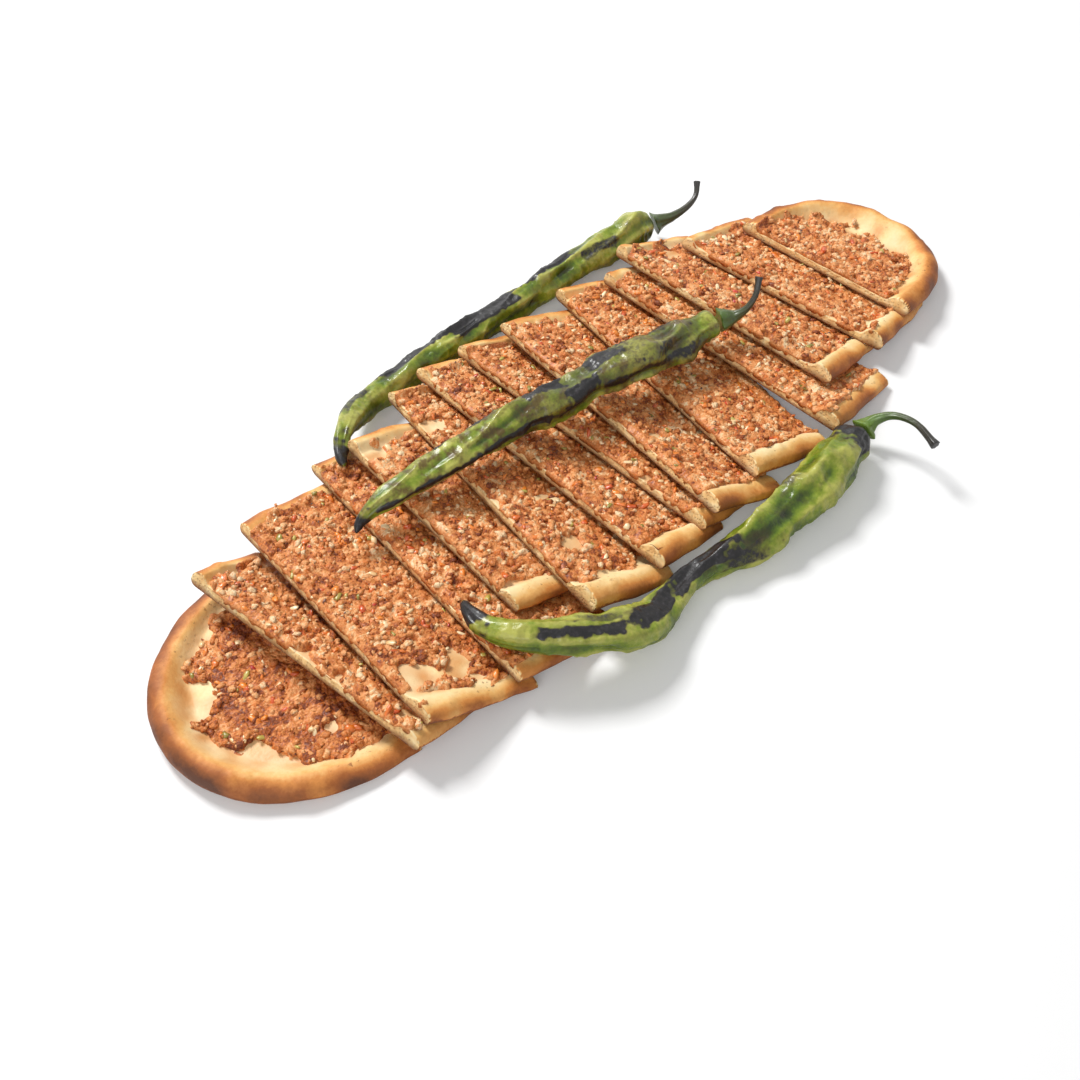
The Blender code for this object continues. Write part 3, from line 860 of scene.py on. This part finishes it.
# Centre line x, y, z with half width and half height, tip first; millimetres.
PEPPERS = {
    "top": ((-154, 21, 23, 2.0, 2.0), (-147, 24, 26, 3.6, 3.4), (-133, 22, 32, 6.0, 5.5),
            (-107, 19, 34, 8.5, 7.5), (-74, 16, 35, 10, 8.5), (-42, 14, 35, 12.5, 10),
            (-18, 8.5, 35, 14.5, 10.5), (-2, 5.5, 37.5, 12, 10.5), (23, 2, 37.5, 13.5, 11),
            (51, -0.5, 33, 14, 11.5), (77, -2, 30.2, 13, 11), (95, -5, 29.8, 9, 8.5)),
    "front": ((-144, -49, 24.4, 2.2, 2.2), (-147, -58, 26, 4.2, 4), (-147, -72, 26.9, 7, 6),
              (-137, -87, 26.9, 9, 7.5), (-120, -101, 25, 10, 8.5), (-100, -112, 19, 11, 9.5),
              (-81, -116, 12, 10.5, 9.5), (-62, -112, 10, 8.5, 8.5), (-41, -110.5, 9, 7.5, 8),
              (-17, -115, 10.5, 10.5, 9.5), (11, -117.5, 12.1, 14, 11), (40, -117, 13.2, 15, 12),
              (68, -114, 13.8, 14.5, 12.5), (88, -111.5, 12.5, 11, 11), (98, -110.5, 12, 8.5, 8.5)),
    "back": ((-128, 64, 20, 2.5, 2.5), (-124, 72, 21, 4, 3.8), (-114, 82, 21, 5.5, 5.5),
             (-97, 94, 16, 7.5, 7.5), (-76, 102, 10, 8.5, 8.5), (-46, 104, 10.5, 9, 9.5),
             (-10, 105, 10.5, 9, 9.5), (26, 105, 10.5, 9, 9.5), (60, 106, 10.5, 9.5, 9.5),
             (92, 106, 11, 10, 10), (122, 104, 12.1, 11.5, 11), (142, 103, 12.7, 11.5, 11.5),
             (156, 100, 12, 8.5, 9)),
}
# Stem: x, y, height above the shoulder, half width, half height.
STEMS = {
    "top": ((97, -5.5, 0, 6.8, 6.5), (101.5, -8, 0.5, 5.4, 5.2), (105, -11, 2.5, 3.2, 3.2),
            (109, -15, 8, 2, 2), (114, -16, 16, 1.7, 1.7), (119, -13, 24, 1.9, 1.9)),
    "front": ((100, -110, 0, 6.8, 6.8), (104.5, -110, 1, 5, 4.8), (109, -112.5, 5, 3, 3),
              (113, -120, 10, 2.1, 2.1), (113, -133, 13, 1.8, 1.8), (108, -149, 12, 2.2, 2.2)),
    "back": ((158, 99.6, 0, 6.5, 7.4), (162, 98, 1, 4.6, 4.6), (170, 94, 3, 2.8, 2.8),
             (181, 92, 6, 2, 2), (190, 93, 10, 1.7, 1.7), (195, 97, 16, 1.8, 1.8)),
}
SLIM = {"top": 0.80, "front": 0.84, "back": 0.86}    # the skin has shrunk onto the flesh
AGED = {"top": 0.85, "front": 0.25, "back": 0.35}    # how much of the skin has gone brown
# Charred stretches: from and to along the pepper (0 tip, 1 shoulder), the side they face in
# degrees (0 front, 90 up, 180 back), half spread in degrees, strength.
CHARS = {
    "top": ((0.0, 0.04, 90, 200, 1.0), (0.42, 0.92, 90, 110, 0.3), (0.24, 0.46, 150, 22, 0.75),
            (0.46, 0.56, 130, 44, 0.95), (0.53, 0.63, 40, 34, 0.95), (0.60, 0.72, 120, 30, 0.6),
            (0.70, 0.92, 150, 26, 0.55), (0.06, 0.5, 12, 13, 0.7), (0.76, 0.84, 50, 18, 0.5),
            (0.62, 0.9, 15, 16, 0.6)),
    "front": ((0.0, 0.06, 90, 200, 1.0), (0.16, 0.30, 70, 16, 0.75), (0.32, 0.45, 90, 34, 0.9),
              (0.45, 0.60, 100, 55, 0.85), (0.56, 0.64, 20, 30, 0.5), (0.93, 1.0, 90, 90, 0.8),
              (0.74, 0.80, 130, 18, 0.4), (0.22, 0.3, 120, 16, 0.4)),
    "back": ((0.0, 0.05, 90, 200, 1.0), (0.26, 0.78, 128, 30, 0.85), (0.44, 0.60, 90, 34, 0.75),
             (0.80, 0.90, 60, 16, 0.5), (0.12, 0.2, 120, 25, 0.5)),
}


def smooth_line(points, steps):
    """Catmull-Rom curve through the points, read at evenly spaced lengths along it."""
    p = np.array(points, float)
    p = np.vstack([2 * p[0] - p[1], p, 2 * p[-1] - p[-2]])
    u = np.linspace(0, len(points) - 1 - 1e-9, steps * 4)
    i = u.astype(int)
    t = (u - i)[:, None]
    a, b, c, d = p[i], p[i + 1], p[i + 2], p[i + 3]
    line = 0.5 * (2 * b + (c - a) * t + (2 * a - 5 * b + 4 * c - d) * t ** 2
                  + (3 * b - a - 3 * c + d) * t ** 3)
    length = np.concatenate([[0], np.cumsum(np.linalg.norm(np.diff(line[:, :3], axis=0), axis=1))])
    at = np.linspace(0, length[-1], steps)
    return np.stack([np.interp(at, length, line[:, k]) for k in range(line.shape[1])], axis=1), at


def laid_tube(points, steps, sides):
    """Turn round a tube, length and share of it along its line, and its points for a radius.

    A point is the centre line plus radius times half width along the level side vector and
    half height along the one across both."""
    line, along = smooth_line(points, steps)
    ahead = np.gradient(line[:, :3], axis=0)
    ahead /= np.linalg.norm(ahead, axis=1, keepdims=True)
    side = np.cross(ahead, (0, 0, 1))
    side /= np.linalg.norm(side, axis=1, keepdims=True)
    up = np.cross(side, ahead)
    around = np.linspace(0, 2 * np.pi, sides, endpoint=False)[None, :]

    def skin(radius):
        ring = (side[:, None] * (line[:, 3:4] * radius * np.cos(around))[..., None]
                + up[:, None] * (line[:, 4:5] * radius * np.sin(around))[..., None])
        return line[:, None, :3] + ring + CENTRED
    return around, along[:, None], along[:, None] / along[-1], skin


def creases(around, along, seed, count):
    """Wrinkles running with the pepper: folded noise, fine around and stretched along."""
    ring = np.cos(around) * count / 6.3, np.sin(around) * count / 6.3
    n = drift(ring[0] + along / 40, ring[1], along / 16, seed)
    return 1 - 2 * np.abs(n)


def make_pepper(name, seed):
    """A roasted pepper: an oval tube whose radius folds along it, sags between ribs and pits."""
    sides = 96
    around, s, share, skin = laid_tube(PEPPERS[name], 430, sides)
    lobes = 0.09 * np.sin(3 * around + 2.6 * np.sin(s / 34 + seed) + seed)
    folds = 0.15 * creases(around, s * 0.6, seed, 7) + 0.05 * creases(around, s * 0.8, seed + 5, 14)
    sag = 0.15 * drift(s / 13, 0 * s, np.cos(around - 1.2), seed + 8)
    ribs = 0.035 * (1 - 2 * np.abs(drift(np.cos(around) * 1.4 + s / 30, np.sin(around) * 1.4,
                                         s / 4.5, seed + 9)))
    pits = 0.016 * drift(np.cos(around) * 4, np.sin(around) * 4, s / 2.2, seed + 11)
    ends = ease(share / 0.05) * ease((1 - share) / 0.03)
    radius = SLIM[name] + (lobes + folds + sag + ribs + pits) * ends
    radius = radius * np.clip(np.sqrt(np.clip(s / 3.0, 0, 1)), 0.02, 1)
    radius = radius * np.clip(np.sqrt(np.clip((s[-1] - s) / 5.0, 0, 1)), 0.02, 1)
    points = skin(radius)
    points[..., 2] = np.maximum(points[..., 2], 0.2)
    degrees = np.degrees(around)
    rough = (0.55 * drift(points[..., 0] / 7, points[..., 1] / 7, points[..., 2] / 7, seed + 20)
             + 0.35 * drift(points[..., 0] / 2.5, points[..., 1] / 2.5, points[..., 2] / 2.5, seed + 21))
    char = np.zeros_like(points[..., 0])
    for start, stop, facing, spread, strength in CHARS[name]:
        turn = np.abs((degrees - facing + 180) % 360 - 180)
        inside = np.minimum((share - start) / 0.05 + 0.5, (stop - share) / 0.05 + 0.5)
        inside = np.minimum(inside, (spread - turn) / 16 + 0.5)
        char = np.maximum(char, strength * ease(inside + rough))
    char = np.maximum(char, 0.7 * ease(3 * (rough - 0.46)))
    # Painted light and shade mask: near 1 on the ridges of the folds, near 0 in the creases.
    crease_shade = np.clip((folds + ribs + 0.4 * sag) / 0.15, -1, 1) * 0.5 + 0.5
    points = np.concatenate([points, points[:, :1]], axis=1) * MM
    caps = [np.broadcast_to(points[k].mean(axis=0), (sides + 1, 3))[None] for k in (0, -1)]
    shell = np.concatenate([caps[0], points, caps[1]])

    def pad(numbers):
        """Numbers on the skin, closed round the tube and repeated on its two end caps."""
        numbers = np.concatenate([numbers, numbers[:, :1]], axis=1)
        return np.concatenate([numbers[:1], numbers, numbers[-1:]])
    values = {"char": pad(char), "crease_shade": pad(crease_shade), "aged": pad(AGED[name] + 0 * char)}
    add_piece(f"grilled_pepper_{name}", shell.reshape(-1, 3), grid_quads(*shell.shape[:2]),
              [PEPPER_SKIN], values, nodes=[f"pepper_{name}"])


def pepper_finish():
    """Roasted skin: dark to yellow green, with painted shade in the creases and painted light on the
    ridges, olive where softened, blue-black where charred.
    """
    material, tree, shader = new_material("pepper_skin", 0.3, coat=0.2, coat_rough=0.1)
    shader.inputs["Specular IOR Level"].default_value = 0.3
    broad = noise(tree, 70, 4, 0.6, seed=11.0)
    fine = noise(tree, 420, 4, 0.6, seed=12.0)
    # Painted light and shade: the green is darkest in the creases and lightest on the ridges.
    tone = maths(tree, "MULTIPLY_ADD", kept(tree, "crease_shade"), 0.55, maths(tree, "MULTIPLY", broad, 0.75))
    tone = waver(tree, fine, 0.35, tone, clamp=True)
    green = ramp(tree, tone, [(0.20, (16, 24, 2)), (0.40, (44, 64, 6)), (0.58, (84, 108, 16)),
                              (0.78, (128, 144, 38)), (0.97, (178, 178, 84))])
    brown = ramp(tree, noise(tree, 130, 3, 0.6, seed=14.0), [(0.46, (0, 0, 0)), (0.64, (255, 255, 255))])
    green = mixed(tree, maths(tree, "MULTIPLY", brown, kept(tree, "aged")), green, (84, 56, 22))
    edge = ramp(tree, waver(tree, fine, 0.8, kept(tree, "char"), clamp=True),
                [(0.28, (0, 0, 0)), (0.55, (255, 255, 255))])
    black = ramp(tree, fine, [(0.3, (8, 7, 8)), (0.5, (16, 14, 15)), (0.64, (36, 33, 36)),
                              (0.85, (74, 70, 74))])
    halo = ramp(tree, kept(tree, "char"), [(0.10, (0, 0, 0)), (0.40, (255, 255, 255))])
    colour = mixed(tree, maths(tree, "MULTIPLY", halo, 0.6), green, (82, 66, 34))
    colour = mixed(tree, edge, colour, black)
    rough = maths(tree, "MULTIPLY_ADD", edge, 0.12, maths(tree, "MULTIPLY_ADD", fine, 0.24, 0.2))
    wrinkle = maths(tree, "ADD", maths(tree, "MULTIPLY", fine, 0.6), noise(tree, 210, 3, 0.6, seed=13.0))
    link_up(tree, (colour, shader.inputs["Base Color"]), (rough, shader.inputs["Roughness"]),
            (bump(tree, wrinkle, 0.55, 0.9), shader.inputs["Normal"]))
    return material


PEPPER_SKIN = pepper_finish()
for name, seed in (("top", 3), ("front", 17), ("back", 29)):
    make_pepper(name, seed)


# ==== The pepper stems ================================================================
# The calyx is a ribbed green cap grown onto the shoulder; the stalk above it is woody,
# curved and singed dark at its end. Each grows out of its pepper.

def stem_finish():
    """Singed stalk: green at the cap, browner along it, black at the end."""
    material, tree, shader = new_material("pepper_stalk", 0.42, coat=0.2)
    fine = noise(tree, 500, 3, 0.6, seed=15.0)
    place = waver(tree, fine, 0.4, kept(tree, "share"), clamp=True)
    colour = ramp(tree, place, [(0.0, (104, 132, 40)), (0.25, (78, 106, 34)), (0.5, (62, 76, 32)),
                                (0.75, (46, 42, 26)), (1.0, (24, 20, 18))])
    link_up(tree, (colour, shader.inputs["Base Color"]),
            (bump(tree, fine, 0.5, 0.6), shader.inputs["Normal"]))
    return material


STALK = stem_finish()


def make_stem(name, shoulder, dark):
    """Cap and stalk in one: a ribbed tube along the stem line, flared into lobes at the cap."""
    points = [(x, y, shoulder + z, w, h) for x, y, z, w, h in STEMS[name]]
    around, s, share, skin = laid_tube(points, 120, 36)
    cap = np.exp(-s / 3.0)
    radius = (1 + 0.16 * cap * np.cos(5 * around) + 0.06 * np.cos(7 * around + s / 9)
              + 0.05 * drift(np.cos(around) * 2, np.sin(around) * 2, s / 4, 71))
    radius = radius * (1 + 0.22 * ease((share - 0.9) / 0.1))
    shell = skin(radius) * MM
    shell = np.concatenate([shell, shell[:, :1]], axis=1)
    ends = [shell[k].mean(axis=0) + (shell[k] - shell[k].mean(axis=0)) * f
            for k, f in ((0, 0.0), (0, 0.5), (-1, 0.55), (-1, 0.0))]
    shell = np.concatenate([ends[0][None], ends[1][None], shell, ends[2][None], ends[3][None]])
    tone = np.clip(share[:, 0] * (1 - dark) + dark, 0, 1)
    tone = np.concatenate([[tone[0]] * 2, tone, [tone[-1]] * 2])[:, None] + 0 * shell[..., 0]
    add_piece(f"pepper_stalk_{name}", shell.reshape(-1, 3), grid_quads(*shell.shape[:2]), [STALK],
              {"share": tone}, nodes=[f"stem_{name}"])


for name, dark in (("top", 0.3), ("front", 0.0), ("back", 0.45)):
    make_stem(name, PEPPERS[name][-1][2], dark)


# ==== The floor =======================================================================
# A plain pale sheet under the food, much larger than the view, lit like the rest.

bpy.ops.mesh.primitive_plane_add(size=8, location=(0, 0, -0.0002))
floor = bpy.context.object
floor.name = "floor"
material, tree, shader = new_material("pale_floor", 0.9)
shader.inputs["Base Color"].default_value = (0.82, 0.82, 0.82, 1)
shader.inputs["Emission Color"].default_value = (1, 1, 1, 1)
light_path = tree.nodes.new("ShaderNodeLightPath")
tree.links.new(maths(tree, "MULTIPLY", light_path.outputs["Is Camera Ray"], 0.14),
               shader.inputs["Emission Strength"])
floor.data.materials.append(material)


# ==== Light ===========================================================================
# Soft studio light: a bright even sky and one large soft lamp high over the back.

world = bpy.data.worlds.new("studio")
bpy.context.scene.world = world
world.use_nodes = True
background = world.node_tree.nodes["Background"]
path = world.node_tree.nodes.new("ShaderNodeLightPath")
seen = maths(world.node_tree, "MAXIMUM", path.outputs["Is Camera Ray"], path.outputs["Is Glossy Ray"])
seen = maths(world.node_tree, "MAXIMUM", seen, path.outputs["Is Transmission Ray"])
SKY = 0.32
world.node_tree.links.new(maths(world.node_tree, "MULTIPLY_ADD", seen, 1 - SKY, SKY),
                          background.inputs["Strength"])
background.inputs["Color"].default_value = (1, 1, 1, 1)


def soft_lamp(name, place, size, watts):
    """A square area lamp aimed at the middle of the food."""
    lamp = bpy.data.lights.new(name, "AREA")
    lamp.size, lamp.energy = size, watts
    obj = bpy.data.objects.new(name, lamp)
    bpy.context.scene.collection.objects.link(obj)
    obj.location = place
    obj.rotation_euler = (Vector((0, 0, 0.02)) - Vector(place)).to_track_quat("-Z", "Y").to_euler()


soft_lamp("key", (0.05, 1.45, 1.6), 0.6, 46)
soft_lamp("fill", (-1.5, -0.7, 1.1), 1.2, 12)


# ==== Camera ==========================================================================
# Looks down on the row from its front left, the length running away to the right.

CAMERA_AT = CENTRED * MM + (-0.3576, -0.3221, 0.4918)
CAMERA_TOWARD = (0.4416, 0.4539, -0.7739)
camera = bpy.data.cameras.new("camera")
camera.lens, camera.sensor_width = 40, 36
camera.clip_start, camera.clip_end = 0.01, 50
viewer = bpy.data.objects.new("camera", camera)
bpy.context.scene.collection.objects.link(viewer)
viewer.location = CAMERA_AT
viewer.rotation_euler = Vector(CAMERA_TOWARD).to_track_quat("-Z", "Y").to_euler()
bpy.context.scene.camera = viewer
bpy.context.scene.view_settings.view_transform = "Standard"
